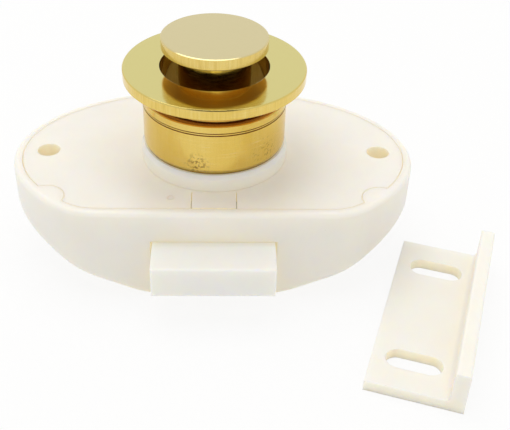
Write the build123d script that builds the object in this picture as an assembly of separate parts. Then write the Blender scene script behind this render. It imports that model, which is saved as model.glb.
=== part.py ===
"""Push button rim latch with its strike plate, in millimetres.

An oval case screws to the inside of a door. Its brass barrel passes through the door, and a brass
rosette clamps the outer face. Pressing the button drives a wedge down onto a cross pin, and the pin
draws the sprung bolt back into the case. The strike plate is a separate angle with slotted holes.

Frame: the origin is on the barrel's axis, in the case's mounting face. +Z runs out along the barrel
to the button, and the bolt points to -Y. The case and the strike plate rest on z = -case_depth.
"""

import os
from math import cos, radians, sin, sqrt, tan

from build123d import *

# Case: an oval, cut straight on the bolt side, with a vaulted back
case_half_width = 37.2  # semi-axis of the oval along X
case_half_length = 25.3  # semi-axis of the oval along Y
case_centre_y = -0.5  # centre of the oval
front_distance = 20.15  # barrel axis to the straight bolt wall
case_depth = 18.6  # mounting face to the flat of the back
case_wall = 2.0  # thickness of the vaulted back
corner_round = 11.0  # where the oval meets the straight wall
top_round = 0.9  # edge round at the mounting face
back_round = 1.3  # edge round where the walls meet the back
floor_flat = 8.85  # half width of the flat that the case rests on
vault_radius = 15.0  # round between the flat and the slopes
vault_slope = 23.6  # degrees, slope of the back towards both ends
rim_width = 1.6  # rim of the case round the base plate
ledge_width = 0.8  # ledge that the base plate lies on
ear_radius = 3.4  # round pillars that locate the plate at the front corners
ear_inset = 7.6  # end of the oval to the pillars' axes
ear_y = -15.1

# Fixing holes for the case
screw_inset = 6.2  # end of the oval to the screws' axes
screw_hole_radius = 2.1
screw_boss_radius = 4.4
screw_head_radius = 3.6
screw_seat = 5.0  # mounting face to the seat of the screw head

# Base plate with its collar and spigot
plate_thickness = 2.0
plate_gap = 0.1  # gap round the plate, and round its snap finger
collar_radius = 13.45
collar_height = 3.2
collar_chamfer = 0.45
collar_chamfer_height = 0.85
spigot_height = 7.0
spigot_wall = 2.1
thread_gap = 0.1  # radial clearance of the screwed joints
finger_half_width = 4.0  # snap finger at the bolt side
finger_length = 4.7
finger_slit = 0.15
finger_setback = 0.2  # the finger's tip stands back from the rim by this much more
hook_depth = 2.6  # the finger's hook reaches this far below the plate
hook_thickness = 1.1
hook_barb = 0.5
hook_barb_height = 1.0

# Brass barrel and rosette
door_thickness = 16.0
door_play = 0.1
barrel_radius = 13.0
barrel_wall = 1.25
barrel_top = 13.1
bead_radius = 13.1
foot_chamfer = 0.35
foot_height = 0.9
bead_height = 1.35
groove_depth = 0.3
groove_width = 0.22
groove_pitch = 0.66
flange_radius = 16.35
flange_thickness = 2.0
flange_chamfer = 0.18
neck_wall = 1.83
neck_clearance = 0.6  # spigot top to the end of the rosette's neck

# Push button
button_travel = 5.6
button_gap = 0.37  # radial gap between the button and the rosette's bore
button_thickness = 2.05
button_chamfer = 0.2
button_chamfer_height = 0.12
button_lip = 0.15
bush_wall = 2.89
hub_length = 15.0
hub_wall = 1.1
hub_bore_depth = 9.0
running_gap = 0.08  # radial clearance of sliding fits
bush_height = 9.5
bush_seat = 0.05
bush_lead = 0.3

# Stem, clip and wedge
stem_radius = 2.5
stud_radius = 2.0
stud_length = 3.6
stem_foot = 1.0  # stem below the plate
clip_radius = 3.8
clip_thickness = 0.6
clip_gap = 0.1
clip_mouth = 1.6
wedge_half_width = 3.5
wedge_chamfer = 0.4
wedge_height = 7.0
wedge_ramp_height = 6.65
wedge_front = 3.6  # barrel axis to the wedge's straight side
wedge_toe = 3.3  # barrel axis to the lower end of the ramp
bolt_ratio = 1.32  # bolt travel for each millimetre of button travel
cam_screw_radius = 1.2
cam_screw_length = 4.4
cam_head_radius = 2.0
cam_head_height = 1.2
head_round = 0.35  # edge round and straight slot of the small screw heads
drive_half = 0.22
drive_depth = 0.6
washer_radius = 2.6
washer_thickness = 0.4

# Bolt
bolt_half_width = 10.75
bolt_top = 6.1  # mounting face to the bolt's upper side
bolt_tip_height = 5.8
bolt_tail_height = 6.8
bolt_nose_height = 9.3
bolt_reach = 7.55  # how far the bolt stands out of the case
bolt_nose_length = 15.8
bolt_tail_end = 12.5  # barrel axis to the bolt's rear end
bevel_run = 6.5  # slam bevel on the side that meets the strike
bolt_edge = 0.35
pin_radius = 1.25
pin_half_length = 8.0
pin_depth = 10.2  # mounting face to the pin's axis
pin_gap = 0.05
window_half_width = 4.2
window_gap = 0.8  # the bolt's window clears the wedge and the clip by this much
slot_gap = 0.4  # gap between the bolt and its slot at the sides
slot_lift = 0.1  # gap above the bolt
slot_drop = 0.2  # gap below the bolt

# Bolt guides, keeper and springs
rail_thickness = 3.0
guide_gap = 0.2
runner_half_width = 0.8
runner_x = 8.6
stop_wall = 1.8
stop_gap = 1.0
keeper_thickness = 1.2
keeper_corner = 1.5
keeper_margin = 0.6
keeper_screw_radius = 0.95
keeper_head_radius = 1.4
keeper_head_height = 1.0
keeper_screw_length = 6.0
keeper_screw_y = 13.0
spring_x = 7.4
bolt_spring_radius = 1.75
bolt_spring_wire = 0.5
bolt_spring_turns = 6
bolt_pocket_radius = 2.3
bolt_pocket_depth = 5.0
rod_radius = 0.9
rod_length = 6.5
rod_chamfer = 0.2
button_spring_gap = 0.5  # radial gap between the spring and the hub's bore
button_spring_wire = 0.8
button_spring_turns = 5

past = 1.0  # how far a cut runs past the face that it opens

# Strike plate, lying beside the case
strike_width = 16.5
strike_length = 39.0
strike_thickness = 2.05
lip_height = 8.3
lip_thickness = 2.5
lip_fillet = 0.9
strike_edge = 0.4
strike_slot_length = 9.7
strike_slot_width = 4.4
strike_slot_spacing = 25.2
strike_slot_inset = 7.2  # free edge to the slots' centres
strike_x = 24.5  # the strike's nearest corner
strike_y = -43.0
strike_turn = -19.0  # degrees

# Places that follow from the sizes above
front_y = -front_distance
screw_spacing = 2 * (case_half_width - screw_inset)
ear_x = case_half_width - ear_inset
wide = 2 * case_half_width  # far enough to pass every face of the case
flange_seat = door_thickness + door_play
flange_top = flange_seat + flange_thickness
sleeve_bore = barrel_radius - barrel_wall
thread_radius = sleeve_bore - thread_gap
rosette_bore = thread_radius - neck_wall
spigot_bore = thread_radius - spigot_wall
neck_bottom = spigot_height + neck_clearance
button_radius = rosette_bore - button_gap
hub_radius = spigot_bore - 2 * running_gap - bush_wall
hub_bore_radius = hub_radius - hub_wall
button_spring_radius = hub_bore_radius - button_spring_gap - button_spring_wire / 2
button_top = flange_top + button_travel
hub_bottom = button_top - button_thickness - hub_length
hub_bore_top = hub_bottom + hub_bore_depth
stem_hole = stem_radius + running_gap
stem_bottom = -plate_thickness - stem_foot
wedge_bottom = stem_bottom - wedge_height
wedge_back = wedge_toe + bolt_ratio * wedge_ramp_height
bolt_travel = bolt_ratio * button_travel
bolt_tip = front_y - bolt_reach
bolt_bottom = -bolt_top - bolt_nose_height
tail_bottom = -bolt_top - bolt_tail_height
spring_z = -bolt_top - bolt_tail_height / 2
rail_x = bolt_half_width + guide_gap
rail_top = -bolt_top + guide_gap
stop_y = bolt_tail_end + bolt_travel + stop_gap
keeper_edge = rail_x + rail_thickness - keeper_margin
hook_front = front_y + rim_width + ledge_width + plate_gap
keeper_front = hook_front + hook_thickness + keeper_margin


def case_block(inset, bottom, top):
    """The case's outline, moved inwards by inset and extruded from bottom to top."""
    oval = Pos(0, case_centre_y) * Ellipse(case_half_width - inset, case_half_length - inset)
    behind_wall = Pos(0, front_y + inset + wide) * Rectangle(2 * wide, 2 * wide)
    block = extrude(Pos(0, 0, bottom) * (oval & behind_wall), top - bottom)
    corners = block.edges().filter_by(Axis.Z).sort_by(Axis.Y)[:2]
    return fillet(corners, corner_round - inset)


def vault(inset):
    """Everything above the vaulted back: a flat, two tangent arcs and two slopes, moved in by inset."""
    radius = vault_radius - inset
    floor_z = inset - case_depth
    slope = radians(vault_slope)
    turn_x = floor_flat + radius * sin(slope)
    turn_z = floor_z + radius * (1 - cos(slope))
    side_x = wide
    side_z = turn_z + (side_x - turn_x) * tan(slope)
    top_z = side_z + case_depth
    profile = make_face(
        [
            Line((-floor_flat, floor_z), (floor_flat, floor_z)),
            CenterArc((floor_flat, floor_z + radius), radius, -90, vault_slope),
            Polyline(
                (turn_x, turn_z), (side_x, side_z), (side_x, top_z),
                (-side_x, top_z), (-side_x, side_z), (-turn_x, turn_z),
            ),
            CenterArc((-floor_flat, floor_z + radius), radius, 270 - vault_slope, vault_slope),
        ]
    )
    return extrude(Plane.XZ * profile, wide, both=True)


def box(x_low, x_high, y_low, y_high, z_low, z_high):
    """A block between the given planes."""
    size = (x_high - x_low, y_high - y_low, z_high - z_low)
    middle = ((x_low + x_high) / 2, (y_low + y_high) / 2, (z_low + z_high) / 2)
    return Pos(*middle) * Box(*size)


def post(radius, z_low, z_high, x=0.0, y=0.0):
    """An upright cylinder."""
    return Pos(x, y, (z_low + z_high) / 2) * Cylinder(radius, z_high - z_low)


def turned(points):
    """A solid of revolution about Z from a closed (radius, height) outline."""
    return revolve(Plane.XZ * make_face(Polyline(*points, close=True)), Axis.Z)


def coil(radius, wire, length, turns):
    """A round-wire compression spring along Z, from 0 to length."""
    height = length - wire
    path = Pos(0, 0, wire / 2) * Helix(height / turns, height, radius)
    section = Plane(path @ 0, z_dir=path % 0) * Circle(wire / 2)
    return sweep(section, path, is_frenet=True)


def along_y(solid, x, y, z):
    """Turns a solid built up Z to point along +Y from (x, y, z)."""
    return Pos(x, y, z) * Rot(-90, 0, 0) * solid


def ears(gap=0.0):
    """The two locating pillars at the front corners."""
    radius = ear_radius + gap
    return post(radius, -case_depth, past, ear_x, ear_y) + post(radius, -case_depth, past, -ear_x, ear_y)


def keeper_screw_places():
    """Centres of the four screws that hold the keeper to the rails."""
    x = rail_x + rail_thickness / 2
    return [(side * x, end * keeper_screw_y) for side in (-1, 1) for end in (-1, 1)]


def housing():
    """Vaulted case: rim, ledge, bolt slot, screw bosses, bolt rails and spring stop."""
    shell = case_block(0, -case_depth, 0) & vault(0)
    lower = shell.edges().filter_by(lambda edge: edge.bounding_box().max.Z < -top_round)
    lower -= lower.filter_by(Axis.Y)
    shell = fillet(lower, back_round)
    shell = fillet(shell.edges().group_by(Axis.Z)[-1], top_round)
    outside = shell
    shell -= case_block(rim_width, -plate_thickness, top_round)
    shell -= case_block(rim_width + ledge_width, -case_depth, 0) & vault(case_wall)

    inner = Part()
    for side in (-1, 1):
        inner += post(screw_boss_radius, -case_depth, -plate_thickness, side * screw_spacing / 2)
        rail = sorted((side * rail_x, side * (rail_x + rail_thickness)))
        inner += box(*rail, front_y + case_wall, stop_y + stop_wall, -case_depth, rail_top)
        runner = (side * runner_x - runner_half_width, side * runner_x + runner_half_width)
        runner_front = bolt_tip + bolt_nose_length + bolt_travel + window_gap
        inner += box(*runner, runner_front, stop_y + stop_wall, -case_depth, tail_bottom - guide_gap)
    inner += box(-rail_x, rail_x, stop_y, stop_y + stop_wall, -case_depth, rail_top)
    shell += inner & outside & vault(case_wall / 2)
    shell += ears() & outside

    slot_half = bolt_half_width + slot_gap
    slot_low = bolt_bottom - slot_drop
    wall_back = front_y + rim_width + ledge_width + past
    shell -= box(-slot_half, slot_half, front_y - past, wall_back, slot_low, slot_lift - bolt_top)
    pocket_low = -plate_thickness - hook_depth - plate_gap
    pocket_high = pocket_low + hook_barb_height + 2 * plate_gap
    pocket_half = finger_half_width + plate_gap
    pocket_front = front_y + rim_width + plate_gap
    shell -= box(-pocket_half, pocket_half, pocket_front, wall_back, pocket_low, pocket_high)
    for x in (-screw_spacing / 2, screw_spacing / 2):
        shell -= post(screw_hole_radius, -case_depth, past, x)
        shell -= post(screw_head_radius, -case_depth, -screw_seat, x)
    for x, y in keeper_screw_places():
        shell -= post(keeper_screw_radius + thread_gap / 2, rail_top - keeper_screw_length, rail_top, x, y)
    for x in (-spring_x, spring_x):
        shell -= along_y(post(rod_radius, 0, stop_wall), x, stop_y, spring_z)
    return shell


def base_plate():
    """Inset plate: chamfered collar, threaded spigot with a floor, and the snap finger with its hook."""
    plate = case_block(rim_width + plate_gap, -plate_thickness, 0) - ears(plate_gap)
    collar_side = collar_height - collar_chamfer_height
    collar_top = collar_radius - collar_chamfer
    plate += turned(
        [
            (0, -plate_thickness), (collar_radius, -plate_thickness), (collar_radius, collar_side),
            (collar_top, collar_height), (thread_radius, collar_height), (thread_radius, spigot_height),
            (spigot_bore, spigot_height), (spigot_bore, 0), (0, 0),
        ]
    )
    below = -plate_thickness - past
    plate -= post(stem_hole, below, past)
    for x in (-screw_spacing / 2, screw_spacing / 2):
        plate -= post(screw_hole_radius, below, past, x)

    plate_front = front_y + rim_width + plate_gap
    tip = plate_front + finger_setback
    root = tip + finger_length
    for side in (-1, 1):
        slit = sorted((side * finger_half_width, side * (finger_half_width - finger_slit)))
        plate -= box(*slit, plate_front - past, root, below, past)
    plate -= box(-finger_half_width, finger_half_width, plate_front - past, tip, below, past)
    half = finger_half_width - finger_slit
    low = -plate_thickness - hook_depth
    plate += box(-half, half, hook_front, hook_front + hook_thickness, low, -plate_thickness)
    return plate + box(-half, half, hook_front - hook_barb, hook_front, low, low + hook_barb_height)


def guide_bush():
    """Plain bush in the spigot that guides the button's hub."""
    outer = post(spigot_bore - running_gap, bush_seat, bush_height)
    bush = outer - post(hub_radius + running_gap, 0, bush_height + past)
    return chamfer(bush.edges().group_by(Axis.Z)[-1].sort_by(SortBy.RADIUS)[0], bush_lead)


def barrel_sleeve():
    """Brass sleeve on the spigot: chamfered foot, and a bead and two fine grooves at the top."""
    seat = collar_height + bush_seat
    bead_bottom = barrel_top - bead_height
    groove_floor = barrel_radius - groove_depth
    second = bead_bottom - groove_pitch
    return turned(
        [
            (sleeve_bore, seat), (barrel_radius - foot_chamfer, seat),
            (barrel_radius, seat + foot_height), (barrel_radius, second),
            (groove_floor, second), (groove_floor, second + groove_width),
            (barrel_radius, second + groove_width), (barrel_radius, bead_bottom - groove_width),
            (groove_floor, bead_bottom - groove_width), (groove_floor, bead_bottom),
            (bead_radius, bead_bottom), (bead_radius, barrel_top - flange_chamfer),
            (bead_radius - flange_chamfer, barrel_top), (sleeve_bore, barrel_top),
        ]
    )


def rosette():
    """Brass flange with the neck that screws into the sleeve."""
    rim = flange_radius - flange_chamfer
    return turned(
        [
            (rosette_bore, neck_bottom), (thread_radius, neck_bottom), (thread_radius, flange_seat),
            (rim, flange_seat), (flange_radius, flange_seat + flange_chamfer),
            (flange_radius, flange_top - flange_chamfer), (rim, flange_top), (rosette_bore, flange_top),
        ]
    )


def push_button():
    """Brass mushroom button, hollow below for its spring, with a threaded hole for the stem."""
    disc_bottom = button_top - button_thickness
    stud_top = hub_bore_top + stud_length + plate_gap
    stud_hole = stud_radius + thread_gap / 2
    return turned(
        [
            (0, stud_top), (stud_hole, stud_top), (stud_hole, hub_bore_top), (hub_bore_radius, hub_bore_top),
            (hub_bore_radius, hub_bottom), (hub_radius, hub_bottom), (hub_radius, disc_bottom),
            (button_radius - button_lip, disc_bottom), (button_radius, disc_bottom + button_lip),
            (button_radius, button_top - button_chamfer_height), (button_radius - button_chamfer, button_top),
            (0, button_top),
        ]
    )


def button_stem():
    """Steel stem: studs for the button and the wedge, and a groove for the retaining clip."""
    clip_top = -plate_thickness - clip_gap
    groove_radius = stud_radius
    stud_end = stem_bottom - stud_length
    stem = turned(
        [
            (0, stud_end), (stud_radius, stud_end), (stud_radius, stem_bottom), (stem_radius, stem_bottom),
            (stem_radius, clip_top - clip_thickness), (groove_radius, clip_top - clip_thickness),
            (groove_radius, clip_top), (stem_radius, clip_top), (stem_radius, hub_bore_top),
            (stud_radius, hub_bore_top), (stud_radius, hub_bore_top + stud_length),
            (0, hub_bore_top + stud_length),
        ]
    )
    return stem - post(cam_screw_radius + thread_gap / 2, stud_end, stud_end + cam_screw_length)


def stem_clip():
    """Open retaining clip in the stem's groove, which stops the button under the plate."""
    top = -plate_thickness - clip_gap
    bottom = top - clip_thickness
    ring = post(clip_radius, bottom, top) - post(stud_radius, bottom, top)
    return ring - box(-clip_mouth, clip_mouth, -clip_radius, 0, bottom, top)


def cam_wedge():
    """Moulded wedge on the stem, with its ramp towards +Y, bored for the stud and the screw."""
    ramp_top = wedge_bottom + wedge_ramp_height
    side = Polyline(
        (-wedge_front, stem_bottom), (-wedge_front, wedge_bottom), (wedge_toe, wedge_bottom),
        (wedge_back, ramp_top), (wedge_back, stem_bottom), close=True,
    )
    wedge = extrude(Plane.YZ * make_face(side), wedge_half_width, both=True)
    wedge = chamfer(wedge.edges().filter_by(Axis.Z), wedge_chamfer)
    wedge -= post(stud_radius + thread_gap / 2, stem_bottom - stud_length, stem_bottom)
    wedge -= post(cam_screw_radius + thread_gap, wedge_bottom, stem_bottom)
    recess = cam_head_height + washer_thickness + plate_gap
    return wedge - post(washer_radius + plate_gap, wedge_bottom, wedge_bottom + recess)


def cam_washer():
    """Washer under the screw that holds the wedge."""
    top = wedge_bottom + cam_head_height + washer_thickness + plate_gap
    ring = post(washer_radius, top - washer_thickness, top)
    return ring - post(cam_screw_radius + thread_gap, top - washer_thickness, top)


def cam_screw():
    """Pan-head screw from below, through the wedge into the stem."""
    seat = wedge_bottom + cam_head_height + plate_gap
    shank_top = stem_bottom - stud_length + cam_screw_length - plate_gap
    head = post(cam_head_radius, wedge_bottom + plate_gap, seat)
    head = fillet(head.edges().group_by(Axis.Z)[0], head_round)
    slot_top = wedge_bottom + plate_gap + drive_depth
    drive = box(-cam_head_radius, cam_head_radius, -drive_half, drive_half, wedge_bottom, slot_top)
    return head + post(cam_screw_radius, seat, shank_top) - drive


def latch_bolt():
    """Moulded bolt: bevelled nose, thin tail with the wedge's window, pin hole and spring pockets."""
    nose_back = bolt_tip + bolt_nose_length
    tip_low = -bolt_top - bolt_tip_height
    side = Polyline(
        (bolt_tip, -bolt_top), (bolt_tip, tip_low), (bolt_tip + bevel_run, bolt_bottom),
        (nose_back, bolt_bottom), (nose_back, tail_bottom), (bolt_tail_end, tail_bottom),
        (bolt_tail_end, -bolt_top), close=True,
    )
    bolt = extrude(Plane.YZ * make_face(side), bolt_half_width, both=True)
    bolt = fillet(bolt.edges().group_by(Axis.Y)[0], bolt_edge)
    window_front = -wedge_front - bolt_travel - window_gap
    window_back = wedge_toe + bolt_ratio * (-bolt_top - wedge_bottom) + window_gap
    window = (-window_half_width, window_half_width, window_front, window_back)
    bolt -= box(*window, tail_bottom - past, past - bolt_top)
    pin_hole = Cylinder(pin_radius + pin_gap, 2 * pin_half_length + 2 * pin_gap)
    bolt -= Pos(0, pin_y(), -pin_depth) * Rot(0, 90, 0) * pin_hole
    for x in (-spring_x, spring_x):
        pocket = post(bolt_pocket_radius, 0, bolt_pocket_depth)
        bolt -= along_y(pocket, x, bolt_tail_end - bolt_pocket_depth, spring_z)
    return bolt


def pin_y():
    """Y of the cross pin: it touches the lower end of the wedge's ramp, less a small gap."""
    ramp_length = sqrt(1 + bolt_ratio**2)
    reach = pin_radius + pin_gap
    contact_z = -pin_depth + reach * bolt_ratio / ramp_length
    contact_y = wedge_toe + bolt_ratio * (contact_z - wedge_bottom)
    return contact_y + reach / ramp_length


def cam_pin():
    """Steel cross pin in the bolt, which the wedge's ramp pushes back."""
    return Pos(0, pin_y(), -pin_depth) * Rot(0, 90, 0) * Cylinder(pin_radius, 2 * pin_half_length)


def keeper_plate():
    """Sheet steel keeper over the bolt, screwed to the rails, with a window for the wedge."""
    top = rail_top + keeper_thickness
    keeper = box(-keeper_edge, keeper_edge, keeper_front, stop_y - stop_gap, rail_top, top)
    keeper = fillet(keeper.edges().filter_by(Axis.Z), keeper_corner)
    window = (-clip_radius - window_gap, wedge_back + window_gap)
    keeper -= box(-window_half_width, window_half_width, *window, rail_top, top)
    for x, y in keeper_screw_places():
        keeper -= post(keeper_screw_radius + thread_gap, rail_top, top, x, y)
    return keeper


def keeper_screws():
    """Four pan-head screws that hold the keeper to the rails."""
    seat = rail_top + keeper_thickness
    top = seat + keeper_head_height
    shank_end = rail_top - keeper_screw_length + thread_gap
    screws = []
    for x, y in keeper_screw_places():
        head = post(keeper_head_radius, seat, top, x, y)
        head = fillet(head.edges().group_by(Axis.Z)[-1], head_round)
        slot = (x - drive_half, x + drive_half, y - keeper_head_radius, y + keeper_head_radius)
        shank = post(keeper_screw_radius, shank_end, seat, x, y)
        screws.append(head + shank - box(*slot, top - drive_depth, top))
    return Compound(screws)


def bolt_spring(side):
    """One of the two springs behind the bolt, from its pocket to the stop wall."""
    start = bolt_tail_end - bolt_pocket_depth
    spring = coil(bolt_spring_radius, bolt_spring_wire, stop_y - start, bolt_spring_turns)
    return along_y(spring, side * spring_x, start, spring_z)


def spring_rod(side):
    """Steel rod in the stop wall that keeps its spring straight."""
    start = stop_y + stop_wall - rod_length
    rod = post(rod_radius, 0, rod_length)
    rod = chamfer(rod.edges().group_by(Axis.Z)[0], rod_chamfer)
    return along_y(rod, side * spring_x, start, spring_z)


def button_spring():
    """Return spring between the spigot's floor and the top of the hub's bore."""
    return coil(button_spring_radius, button_spring_wire, hub_bore_top, button_spring_turns)


def strike_plate():
    """Moulded angle with a filleted lip and two slots across its base."""
    section = make_face(
        Polyline(
            (0, 0), (strike_width, 0), (strike_width, lip_height), (strike_width - lip_thickness, lip_height),
            (strike_width - lip_thickness, strike_thickness), (0, strike_thickness), close=True,
        )
    )
    strike = Pos(0, strike_length, 0) * extrude(Plane.XZ * section, strike_length)
    corner = (strike_width - lip_thickness, strike_length / 2, strike_thickness)
    strike = fillet(strike.edges().filter_by(Axis.Y).sort_by_distance(corner)[0], lip_fillet)
    strike = fillet(strike.edges().filter_by(Axis.Y).group_by(Axis.Z)[-1], strike_edge)
    for offset in (-strike_slot_spacing / 2, strike_slot_spacing / 2):
        slot = extrude(SlotOverall(strike_slot_length, strike_slot_width), 4 * strike_thickness, both=True)
        strike -= Pos(strike_slot_inset, strike_length / 2 + offset, 0) * slot
    return Pos(strike_x, strike_y, -case_depth) * Rot(0, 0, strike_turn) * strike


PIECES = {
    "housing": housing(),
    "base_plate": base_plate(),
    "guide_bush": guide_bush(),
    "barrel_sleeve": barrel_sleeve(),
    "rosette": rosette(),
    "push_button": push_button(),
    "button_stem": button_stem(),
    "button_spring": button_spring(),
    "stem_clip": stem_clip(),
    "cam_wedge": cam_wedge(),
    "cam_washer": cam_washer(),
    "cam_screw": cam_screw(),
    "latch_bolt": latch_bolt(),
    "cam_pin": cam_pin(),
    "bolt_spring_left": bolt_spring(-1),
    "bolt_spring_right": bolt_spring(1),
    "spring_rod_left": spring_rod(-1),
    "spring_rod_right": spring_rod(1),
    "keeper_plate": keeper_plate(),
    "keeper_screws": keeper_screws(),
    "strike_plate": strike_plate(),
}

os.makedirs("parts", exist_ok=True)
for name, piece in PIECES.items():
    export_step(piece, f"parts/{name}.step")
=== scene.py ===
from math import cos, pi, radians, sin

import bpy
import numpy as np
from mathutils import Matrix, Vector


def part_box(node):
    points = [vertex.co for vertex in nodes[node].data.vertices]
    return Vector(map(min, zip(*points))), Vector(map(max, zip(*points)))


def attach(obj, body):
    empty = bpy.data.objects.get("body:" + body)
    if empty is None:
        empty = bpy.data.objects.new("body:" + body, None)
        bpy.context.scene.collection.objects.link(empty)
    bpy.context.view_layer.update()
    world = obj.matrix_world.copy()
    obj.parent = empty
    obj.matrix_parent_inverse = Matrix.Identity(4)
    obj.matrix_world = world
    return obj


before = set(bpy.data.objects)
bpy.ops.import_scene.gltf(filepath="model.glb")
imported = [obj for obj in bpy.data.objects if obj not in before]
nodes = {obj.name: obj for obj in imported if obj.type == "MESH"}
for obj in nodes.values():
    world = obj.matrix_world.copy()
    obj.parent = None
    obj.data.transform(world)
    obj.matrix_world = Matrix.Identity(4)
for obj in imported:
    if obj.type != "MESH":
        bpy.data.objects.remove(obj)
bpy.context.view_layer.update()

# Push button rim latch on a white studio table: ivory moulded case, turned brass barrel, rosette and
# button, and a separate strike plate. Lengths are metres, and +Z runs up the barrel to the button.

MM = 0.001
FLANGE_THICKNESS = 2.0 * MM


# Places taken from the solids


def low(name):
    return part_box(name)[0]


def high(name):
    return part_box(name)[1]


TABLE = low("housing").z
FLANGE_TOP = high("rosette").z
FLANGE_SEAT = FLANGE_TOP - FLANGE_THICKNESS
BEAD_TOP = high("barrel_sleeve").z
SLEEVE_FOOT = low("barrel_sleeve").z


# Colours and nodes


def colour(code):
    """Linear colour of an sRGB hex code: the curve's low part is straight, the rest a power of 2.4."""
    parts = np.array([int(code[i : i + 2], 16) / 255 for i in (1, 3, 5)])
    return (*np.where(parts <= 0.04045, parts / 12.92, ((parts + 0.055) / 1.055) ** 2.4), 1.0)


def add(tree, kind, inputs=None, **settings):
    """Adds a node and gives its outputs, of which [0] is the main one.

    Settings are its properties, and inputs are values or the sockets that feed them.
    """
    made = tree.nodes.new("ShaderNode" + kind)
    for name, value in settings.items():
        setattr(made, name, value)
    for name, value in (inputs or {}).items():
        if isinstance(value, bpy.types.NodeSocket):
            tree.links.new(value, made.inputs[name])
        else:
            made.inputs[name].default_value = value
    return made.outputs


def material(name):
    """A material and its empty node tree."""
    made = bpy.data.materials.new(name)
    made.use_nodes = True
    made.node_tree.nodes.clear()
    return made, made.node_tree


def coats(tree, tone, layers):
    """Lays colours over a tone one after another, each by its mask from 0 to 1."""
    for mask, code in layers:
        tone = add(tree, "Mix", {0: mask, 6: tone, 7: colour(code)}, data_type="RGBA")[2]
    return tone


def near(tree, place, centre, inner, outer):
    """1 within inner of a centre and 0 from outer on, with all three in millimetres."""
    spot = tuple(c * MM for c in centre)
    gap = add(tree, "VectorMath", {0: place, 1: spot}, operation="DISTANCE")["Value"]
    return add(tree, "MapRange", {"Value": gap, "From Min": outer * MM, "From Max": inner * MM})[0]


# Moulded plastics


def moulded_nylon(name, body, painted_hollow_tone, roughness, specks):
    """Ivory nylon from a polished mould.

    The eye sees a soft gloss, a faint cloudiness where the melt flowed, slightly rounded edges, a painted
    warm glow in holes and grooves that stands in for light coming through the plastic, and a few specks of
    burnt resin.
    """
    made, tree = material(name)
    place = add(tree, "TexCoord")["Object"]
    flow_cloud = 9 * MM
    clouds = add(tree, "TexNoise", {"Vector": place, "Scale": 1 / flow_cloud, "Detail": 2.0})["Fac"]
    flow = add(tree, "MapRange", {"Value": clouds, "From Min": 0.35, "From Max": 0.65})[0]
    # painted light in hollows: where little sky reaches, the colour turns to the painted hollow tone and
    # the surface gives off a faint painted glow, standing in for light that comes through the walls
    hollow_reach, painted_glow_strength = 8 * MM, 0.17
    open_sky = add(tree, "AmbientOcclusion", {"Distance": hollow_reach}, samples=8)["AO"]
    painted_hollow_mask = add(tree, "MapRange", {"Value": open_sky, "From Min": 0.75, "From Max": 0.05})[0]
    glow = add(tree, "Math", {0: painted_hollow_mask, 1: painted_glow_strength}, operation="MULTIPLY")[0]
    # burnt specks, one in a cell, darkest within the inner radius and gone at the outer one
    speck_cell, speck_inner, speck_outer = 7 * MM, 0.056 * MM, 0.14 * MM
    cells = add(tree, "TexVoronoi", {"Vector": place, "Scale": 1 / speck_cell})["Distance"]
    burnt = {"Value": cells, "From Min": speck_outer / speck_cell, "From Max": speck_inner / speck_cell}
    speck = add(tree, "MapRange", {**burnt, "To Max": specks})[0]
    tone = coats(tree, colour(body[0]), [(flow, body[1]), (painted_hollow_mask, painted_hollow_tone), (speck, "#7E6A52")])
    # the mould's polish, drawn coarser than it is, so that it breaks the gloss a little
    polish_grain, polish_share = 0.5 * MM, 0.012
    polish = add(tree, "TexNoise", {"Vector": place, "Scale": 1 / polish_grain, "Detail": 3.0})["Fac"]
    sink_mark, sink_depth = 14 * MM, 0.5 * MM
    sink = add(tree, "TexNoise", {"Vector": place, "Scale": 1 / sink_mark, "Detail": 1.0})["Fac"]
    relief = add(tree, "Math", {0: polish, 1: polish_share, 2: sink}, operation="MULTIPLY_ADD")[0]
    edge_round, light_depth = 0.15 * MM, 2.0 * MM
    edge = add(tree, "Bevel", {"Radius": edge_round}, samples=4)["Normal"]
    dents = {"Height": relief, "Strength": 0.25, "Distance": sink_depth, "Normal": edge}
    gloss = {"Value": polish, "To Min": roughness - 0.04, "To Max": roughness + 0.05}
    shader = add(
        tree,
        "BsdfPrincipled",
        {
            "Base Color": tone,
            "Roughness": add(tree, "MapRange", gloss)[0],
            "IOR": 1.53,
            "Normal": add(tree, "Bump", dents)["Normal"],
            "Subsurface Weight": 1.0,
            "Subsurface Radius": (1.0, 0.85, 0.6),
            "Subsurface Scale": light_depth,
            # painted glow in hollows, though the plastic is no lamp
            "Emission Color": colour(painted_hollow_tone),
            "Emission Strength": glow,
        },
    )
    add(tree, "OutputMaterial", {"Surface": shader[0]})
    return made


# Turned brass


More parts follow.
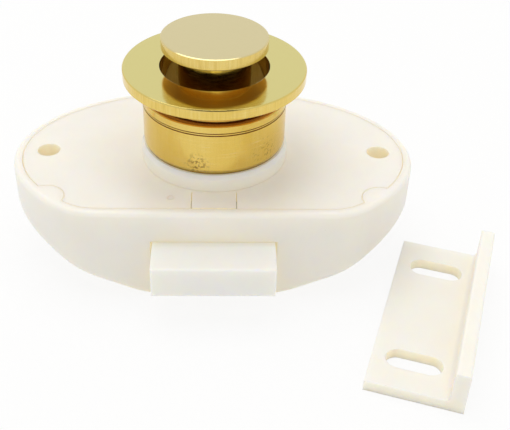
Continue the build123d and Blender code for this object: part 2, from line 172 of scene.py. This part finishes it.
def barrel_wear_and_shade(tree, place, up):
    """Wear and painted shade near the barrel's foot: layers of tarnish, scratches and a painted shade band,
    and the scratches alone.

    Tarnish and scratches each lie round one place. They are full within the first radius and end at
    the second, in millimetres.
    """
    tarnish_place, tarnish_full, tarnish_end = (-3.0, -12.6, 5.2), 0.4, 2.6
    scratch_place, scratch_full, scratch_end = (9.0, -9.4, 6.2), 1.5, 3.8
    tarnish_grain = 0.55 * MM
    grain = add(tree, "TexNoise", {"Vector": place, "Scale": 1 / tarnish_grain, "Detail": 4.0})["Fac"]
    patchy = add(tree, "MapRange", {"Value": grain, "From Min": 0.5, "From Max": 0.6, "To Max": 0.8})[0]
    foot = near(tree, place, tarnish_place, tarnish_full, tarnish_end)
    tarnish = add(tree, "Math", {0: patchy, 1: foot}, operation="MULTIPLY")[0]
    # cuts that lean to the right, many times as long as they are wide
    cut_width, cut_stretch, cut_lean = 0.3 * MM, 12.0, radians(40)
    leaning = {"Vector": place, "Rotation": (0.0, cut_lean, 0.0), "Scale": (1.0, 1.0, cut_stretch)}
    lean = add(tree, "Mapping", leaning, vector_type="TEXTURE")["Vector"]
    cut = add(tree, "TexNoise", {"Vector": lean, "Scale": 1 / cut_width, "Detail": 1.0})["Fac"]
    cuts = add(tree, "MapRange", {"Value": cut, "From Min": 0.60, "From Max": 0.68})[0]
    side = near(tree, place, scratch_place, scratch_full, scratch_end)
    scratch = add(tree, "Math", {0: cuts, 1: side}, operation="MULTIPLY")[0]
    shown = add(tree, "Math", {0: scratch, 1: 0.7}, operation="MULTIPLY")[0]
    # painted shade: a dark band at the barrel's foot, where it meets its collar
    line_top, line_foot = SLEEVE_FOOT + 0.9 * MM, SLEEVE_FOOT + 0.1 * MM
    painted_foot_shade = {"Value": up, "From Min": line_top, "From Max": line_foot, "To Max": 0.65}
    layers = [(tarnish, "#6E4A22"), (shown, "#8A6A35"), (add(tree, "MapRange", painted_foot_shade)[0], "#5E4418")]
    return layers, scratch


def turned_brass(name, tones, roughness, line, worn_and_shaded=False):
    """Brass turned on a lathe and polished.

    The eye sees a clear but soft mirror, fine lines left by the tool that run round the axis, short
    streaks across the rims with painted dark and pale reflection on them, a slow drift between paler
    and redder metal, and on the worn barrel brown tarnish specks and slanting scratches near its foot.
    Painted light is laid over this: a paler tone on faces that look up, or a browner one on the barrel,
    a painted amber reflection on undersides, painted shade in the bore and the gaps, and on the barrel
    a painted shade band at its foot. The four tones are those of the metal, of its redder patches, of
    the rubbing marks and of the painted tone of the faces that look up.
    """
    made, tree = material(name)
    place = add(tree, "TexCoord")["Object"]
    axes = add(tree, "SeparateXYZ", {"Vector": place})
    facing = add(tree, "SeparateXYZ", {"Vector": add(tree, "NewGeometry")["Normal"]})["Z"]
    across = add(tree, "CombineXYZ", {"X": axes["X"], "Y": axes["Y"]})["Vector"]
    radius = add(tree, "VectorMath", {0: across}, operation="LENGTH")["Value"]
    run = add(tree, "Math", {0: radius, 1: axes["Z"]}, operation="ADD")[0]
    # tool lines, drawn at the given spacing, a few times coarser than they are
    turning = {"W": run, "Scale": 1 / (line * MM), "Detail": 3.0}
    feed = add(tree, "TexNoise", turning, noise_dimensions="1D")["Fac"]
    # streaks along the axis, which the squeeze makes 4 mm long
    streak_width, squeeze = 0.25 * MM, (1.0, 1.0, 0.06)
    squeezed = add(tree, "VectorMath", {0: place, 1: squeeze}, operation="MULTIPLY")["Vector"]
    streak = add(tree, "TexNoise", {"Vector": squeezed, "Scale": 1 / streak_width, "Detail": 2.0})["Fac"]
    # broken rubbing marks that follow the turning, 5 mm long on the barrel
    marks_in_radian, mark_pitch = 2.6, 0.4 * MM
    angle = add(tree, "Math", {0: axes["Y"], 1: axes["X"]}, operation="ARCTAN2")[0]
    around = add(tree, "Math", {0: angle, 1: marks_in_radian}, operation="MULTIPLY")[0]
    along = add(tree, "Math", {0: run, 1: mark_pitch}, operation="DIVIDE")[0]
    wrap = add(tree, "CombineXYZ", {"X": around, "Y": along})["Vector"]
    rubbed = add(tree, "TexNoise", {"Vector": wrap, "Scale": 1.0, "Detail": 4.0})["Fac"]
    alloy_patch = 11 * MM
    drift = add(tree, "TexNoise", {"Vector": place, "Scale": 1 / alloy_patch, "Detail": 3.0})["Fac"]
    redder = add(tree, "MapRange", {"Value": drift, "From Min": 0.36, "From Max": 0.64})[0]
    rub = add(tree, "MapRange", {"Value": rubbed, "From Min": 0.55, "From Max": 0.75, "To Max": 0.35})[0]
    # painted light: faces that look up get a paler tone, or a browner one on the barrel, and undersides
    # get a painted amber reflection
    painted_top_mask = add(tree, "MapRange", {"Value": facing, "From Min": 0.6, "From Max": 0.95})[0]
    underside = add(tree, "MapRange", {"Value": facing, "From Min": -0.5, "From Max": -0.9})[0]
    # painted shade: the bore and the gaps turn a greyer brown where little sky reaches
    bore_reach = 5 * MM
    open_sky = add(tree, "AmbientOcclusion", {"Distance": bore_reach}, samples=8)["AO"]
    painted_bore_shade = add(tree, "MapRange", {"Value": open_sky, "From Min": 0.45, "From Max": 0.1, "To Max": 0.8})[0]
    layers = [(redder, tones[1]), (rub, tones[2]), (painted_top_mask, tones[3]), (underside, "#F3BC5A")]
    layers.append((painted_bore_shade, "#B08A68"))
    # painted reflection: dark and pale streaks across the rims, laid over the streaks' bumps
    level = add(tree, "Math", {0: facing}, operation="ABSOLUTE")[0]
    painted_streak_share = 0.06 if worn_and_shaded else 0.2
    upright = {"Value": level, "From Min": 0.5, "From Max": 0.2, "To Max": painted_streak_share}
    painted_streak_mask = add(tree, "MapRange", upright)[0]
    for start, end, code in ((0.5, 0.68, "#B8923F"), (0.48, 0.32, "#F0E2A8")):
        painted_streak = add(tree, "MapRange", {"Value": streak, "From Min": start, "From Max": end})[0]
        layers.append((add(tree, "Math", {0: painted_streak, 1: painted_streak_mask}, operation="MULTIPLY")[0], code))

    height = add(tree, "Math", {0: feed, 1: 0.5}, operation="MULTIPLY")[0]
    for relief, share in ((rubbed, 0.5), (streak, 0.35)):
        height = add(tree, "Math", {0: relief, 1: share, 2: height}, operation="MULTIPLY_ADD")[0]
    if worn_and_shaded:
        wear_and_shade, scratch = barrel_wear_and_shade(tree, place, axes["Z"])
        layers += wear_and_shade
        height = add(tree, "Math", {0: height, 1: scratch}, operation="SUBTRACT")[0]
    dull = {"From Min": 0.35, "From Max": 0.75, "To Min": roughness, "To Max": roughness + 0.12}
    gloss = add(tree, "MapRange", {"Value": rubbed, **dull})[0]
    # undersides are left as they come from the lathe
    rough = add(tree, "Math", {0: underside, 1: 0.4, 2: gloss}, operation="MULTIPLY_ADD")[0]
    edge_round, line_depth = 0.1 * MM, 0.008 * MM
    edge = add(tree, "Bevel", {"Radius": edge_round}, samples=4)["Normal"]
    lines = {"Height": height, "Strength": 0.3, "Distance": line_depth, "Normal": edge}
    shader = add(
        tree,
        "BsdfPrincipled",
        {
            "Base Color": coats(tree, colour(tones[0]), layers),
            "Metallic": 1.0,
            "Roughness": rough,
            "Normal": add(tree, "Bump", lines)["Normal"],
        },
    )
    add(tree, "OutputMaterial", {"Surface": shader[0]})
    return made


# Steel


def plated_steel(name, body, patchy, roughness):
    """Zinc plated or drawn steel: a grey metal with a fine spangle and slightly uneven gloss."""
    made, tree = material(name)
    place = add(tree, "TexCoord")["Object"]
    crystal, grit, grit_depth = 0.8 * MM, 0.25 * MM, 0.01 * MM
    spangle = add(tree, "TexVoronoi", {"Vector": place, "Scale": 1 / crystal})["Distance"]
    flakes = add(tree, "MapRange", {"Value": spangle, "From Min": 0.2, "From Max": 0.8})[0]
    grain = add(tree, "TexNoise", {"Vector": place, "Scale": 1 / grit, "Detail": 3.0})["Fac"]
    rough = add(tree, "MapRange", {"Value": grain, "To Min": roughness - 0.08, "To Max": roughness + 0.1})[0]
    bump = add(tree, "Bump", {"Height": grain, "Strength": 0.3, "Distance": grit_depth})["Normal"]
    tone = coats(tree, colour(body), [(flakes, patchy)])
    metal = {"Base Color": tone, "Metallic": 1.0, "Roughness": rough, "Normal": bump}
    add(tree, "OutputMaterial", {"Surface": add(tree, "BsdfPrincipled", metal)[0]})
    return made


ivory_case = moulded_nylon(
    "ivory_case_nylon", ("#F4F1EB", "#F2EFE8"), painted_hollow_tone="#F2E8CC", roughness=0.36, specks=0.4
)
white_bolt = moulded_nylon(
    "white_bolt_nylon", ("#F4F4F1", "#F2F2EE"), painted_hollow_tone="#F1ECDA", roughness=0.30, specks=0.2
)
cam_nylon = moulded_nylon(
    "natural_cam_nylon", ("#E6E0D0", "#DED7C4"), painted_hollow_tone="#BDB188", roughness=0.42, specks=0.2
)
flange_brass = turned_brass(
    "polished_rosette_brass", ("#E4C86E", "#DFC062", "#EBD79A", "#DDD38C"), roughness=0.06, line=0.10
)
button_brass = turned_brass(
    "polished_button_brass", ("#E4CA78", "#DFC26C", "#EBD79A", "#DCD0A2"), roughness=0.11, line=0.10
)
barrel_brass = turned_brass(
    "turned_barrel_brass",
    ("#E3C66C", "#DCBB5C", "#EBD592", "#A57A33"),
    roughness=0.17,
    line=0.16,
    worn_and_shaded=True,
)
zinc_steel = plated_steel("zinc_plated_steel", "#B9BABB", "#A4A6A8", roughness=0.34)
spring_steel = plated_steel("drawn_spring_steel", "#8E8F91", "#7B7C7F", roughness=0.3)

MATERIALS = {
    "housing": ivory_case,
    "base_plate": ivory_case,
    "strike_plate": ivory_case,
    "guide_bush": cam_nylon,
    "cam_wedge": cam_nylon,
    "latch_bolt": white_bolt,
    "barrel_sleeve": barrel_brass,
    "rosette": flange_brass,
    "push_button": button_brass,
    "button_spring": spring_steel,
    "bolt_spring_left": spring_steel,
    "bolt_spring_right": spring_steel,
    "stem_clip": spring_steel,
}
for name, node in nodes.items():
    node.data.materials.clear()
    node.data.materials.append(MATERIALS.get(name, zinc_steel))


# Small forms on the mouldings and the brass


def grid_piece(name, points, wrap_u, wrap_v, surface, body):
    """Turns a (u, v, 3) grid of points into a mesh of quads, joined across the seams that wrap."""
    count_u, count_v = points.shape[:2]
    u = np.arange(count_u if wrap_u else count_u - 1)
    v = np.arange(count_v if wrap_v else count_v - 1)
    u, v = np.meshgrid(u, v, indexing="ij")
    after_u, after_v = (u + 1) % count_u, (v + 1) % count_v
    quads = np.stack(
        [u * count_v + v, after_u * count_v + v, after_u * count_v + after_v, u * count_v + after_v], -1
    ).reshape(-1, 4)
    mesh = bpy.data.meshes.new(name)
    mesh.from_pydata(points.reshape(-1, 3).tolist(), [], quads.tolist())
    mesh.polygons.foreach_set("use_smooth", np.ones(len(quads), bool))
    mesh.update()
    piece = bpy.data.objects.new(name, mesh)
    bpy.context.scene.collection.objects.link(piece)
    piece.data.materials.append(surface)
    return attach(piece, body)


def witness_ring(name, centre, radius, surface, body):
    """The ring that an ejector pin leaves: a torus whose round section is sunk by most of its radius.

    A point at angle a round the ring and b round its section lies at distance radius + r cos(b) from
    the centre and height r sin(b) less the sink. Centre and radius are in millimetres.
    """
    wire, sink = 0.10 * MM, 0.06 * MM
    a = np.linspace(0, 2 * pi, 48, endpoint=False)[:, None]
    b = np.linspace(0, 2 * pi, 10, endpoint=False)[None, :]
    reach = radius * MM + wire * np.cos(b)
    points = np.stack(
        np.broadcast_arrays(
            centre[0] * MM + reach * np.cos(a),
            centre[1] * MM + reach * np.sin(a),
            centre[2] * MM - sink + wire * np.sin(b) + 0 * a,
        ),
        -1,
    )
    return grid_piece(name, points, True, True, surface, body)


def neck_thread():
    """Fine thread on the rosette's neck, seen between the sleeve and the flange.

    The section is a ring from inner to outer radius. Its outer radius at angle a and height z is the
    root plus the depth times a triangle wave of z / pitch - a / full turn, and it fades at both ends.
    """
    inner, root, depth, pitch = 11.2 * MM, 11.66 * MM, 0.42 * MM, 1.0 * MM
    gap_below, gap_above, run_out = 0.03 * MM, 0.05 * MM, 0.3 * MM
    bottom, top = BEAD_TOP + gap_below, FLANGE_SEAT - gap_above
    a = np.linspace(0, 2 * pi, 120, endpoint=False)[:, None]
    z = np.linspace(bottom, top, 41)[None, :]
    phase = (z / pitch - a / (2 * pi)) % 1.0
    wave = 1 - np.abs(2 * phase - 1)
    ends = np.clip(np.minimum(z - bottom, top - z) / run_out, 0, 1)
    outer = root + depth * wave * ends
    radius = np.concatenate([np.full_like(a, inner), outer, np.full_like(a, inner)], 1)
    height = np.concatenate([np.full_like(a, bottom), z + 0 * a, np.full_like(a, top)], 1)
    points = np.stack([radius * np.cos(a), radius * np.sin(a), height], -1)
    return grid_piece("neck_thread", points, True, True, flange_brass, "case")


neck_thread()
witness_ring(
    "plate_pin_mark",
    centre=(-7.6, -15.2, 0.0),
    radius=0.55,
    surface=ivory_case,
    body="case",
)


# Table, light and camera


def table():
    """A seamless white sheet under the latch.

    It is matt paper that keeps the contact shadow. The camera, metal and gloss also see an even white
    glow in it, so that it stays white.
    """
    made, tree = material("white_paper_table")
    ray = add(tree, "LightPath")
    seen = ray["Is Camera Ray"]
    for kind in ("Is Glossy Ray", "Is Transmission Ray"):
        seen = add(tree, "Math", {0: seen, 1: ray[kind]}, operation="MAXIMUM")[0]
    white_share, half = 0.86, 1.5
    share = add(tree, "Math", {0: seen, 1: white_share}, operation="MULTIPLY")[0]
    paper = add(tree, "BsdfDiffuse", {"Color": colour("#F4F4F3")})[0]
    glow = add(tree, "Emission", {"Color": colour("#FFFFFF"), "Strength": 1.0})[0]
    sheet = add(tree, "MixShader", {0: share, 1: paper, 2: glow})[0]
    add(tree, "OutputMaterial", {"Surface": sheet})
    corners = [(-half, -half, TABLE), (half, -half, TABLE), (half, half, TABLE), (-half, half, TABLE)]
    mesh = bpy.data.meshes.new("table")
    mesh.from_pydata(corners, [], [(0, 1, 2, 3)])
    mesh.materials.append(made)
    sheet = bpy.data.objects.new("table", mesh)
    bpy.context.scene.collection.objects.link(sheet)


def soft_box(name, place, target, size, power):
    """A square lamp at place that faces target, in metres and watts."""
    data = bpy.data.lights.new(name, "AREA")
    data.shape = "SQUARE"
    data.size = size
    data.energy = power
    lamp = bpy.data.objects.new(name, data)
    bpy.context.scene.collection.objects.link(lamp)
    lamp.location = place
    lamp.rotation_euler = (Vector(target) - Vector(place)).to_track_quat("-Z", "Y").to_euler()


def studio_air():
    """The room: white to the camera, brightest behind the latch, dimmer in front and high up in front."""
    world = bpy.data.worlds.new("studio_room")
    world.use_nodes = True
    tree = world.node_tree
    tree.nodes.clear()
    way = add(tree, "TexCoord")["Generated"]
    back = add(tree, "SeparateXYZ", {"Vector": way})["Y"]
    side = add(tree, "MapRange", {"Value": back, "From Min": -1.0, "From Max": 0.0})[0]
    rear = add(tree, "MapRange", {"Value": back, "From Min": 0.0, "From Max": 1.0})[0]
    # the dim patch high up in front
    rise = radians(62)
    aim = {0: way, 1: (0.0, -cos(rise), sin(rise))}
    patch = add(tree, "VectorMath", aim, operation="DOT_PRODUCT")["Value"]
    dim = add(tree, "MapRange", {"Value": patch, "From Min": 0.90, "From Max": 0.97})[0]
    room = coats(tree, colour("#E0DFDC"), [(side, "#EEEDEA"), (rear, "#F6F5F2"), (dim, "#6E6B66")])
    wall = add(tree, "Background", {"Color": room, "Strength": 1.0})[0]
    white = add(tree, "Background", {"Color": colour("#FFFFFF"), "Strength": 1.0})[0]
    seen = add(tree, "LightPath")["Is Camera Ray"]
    mixed = add(tree, "MixShader", {0: seen, 1: wall, 2: white})[0]
    add(tree, "OutputWorld", {"Surface": mixed})
    bpy.context.scene.world = world


def camera():
    """A 63.5 mm lens 0.17 m away that looks down at 36.5 degrees and leans 2.1 degrees."""
    place = Vector((0.000591, -0.143891, 0.091670))
    azimuth, rise, lean = radians(-2.982), radians(36.511), radians(2.073)
    back = Vector((sin(azimuth) * cos(rise), -cos(azimuth) * cos(rise), sin(rise)))
    level = Vector((cos(azimuth), sin(azimuth), 0.0))
    upright = back.cross(level)
    right = level * cos(lean) + upright * sin(lean)
    up = upright * cos(lean) - level * sin(lean)
    data = bpy.data.cameras.new("product_camera")
    data.sensor_width = 36.0
    data.lens = 63.53
    data.clip_start = 0.01
    body = bpy.data.objects.new("product_camera", data)
    bpy.context.scene.collection.objects.link(body)
    turn = Matrix((right, up, back)).transposed().to_4x4()
    body.matrix_world = Matrix.Translation(place) @ turn
    bpy.context.scene.camera = body


table()
studio_air()
soft_box("overhead_box", place=(-0.10, 0.12, 0.62), target=(0, 0, 0), size=0.55, power=1.4)
soft_box("front_box", place=(0.05, -0.55, 0.40), target=(0, 0, 0), size=0.35, power=0.25)
camera()
bpy.context.scene.view_settings.view_transform = "Standard"
